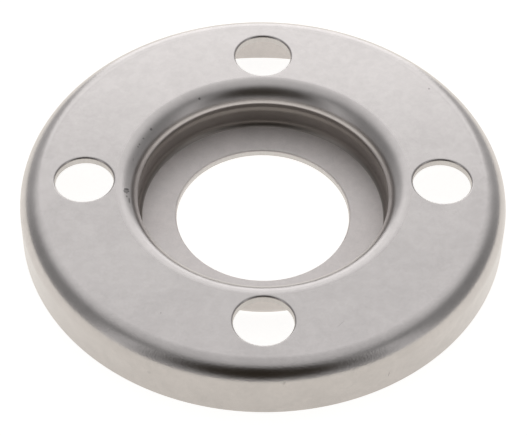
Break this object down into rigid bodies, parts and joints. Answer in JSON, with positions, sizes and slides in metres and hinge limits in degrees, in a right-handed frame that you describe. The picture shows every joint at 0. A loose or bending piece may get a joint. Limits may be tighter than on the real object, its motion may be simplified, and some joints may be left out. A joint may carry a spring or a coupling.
{
  "type": "lap joint flange",
  "caption": "Round pressed stainless flange that turns loose on a pipe's collar, with a dished centre, a turned-down rim, a plain bore and bolt holes round its face.",
  "frame": {"origin": "centre of the flange at the level of the rim's lower edge and the dish's underside", "axes": "+Z along the pipe's axis, out of the bolt face; +X through the first bolt hole"},
  "size_m": [0.15, 0.15, 0.0178],
  "materials": {
    "stainless": "satin, lightly mottled, with a burnished band on the dish's wall"
  },
  "bodies": {
    "root": {"pressed_flange": "stainless"}
  },
  "joints": []
}
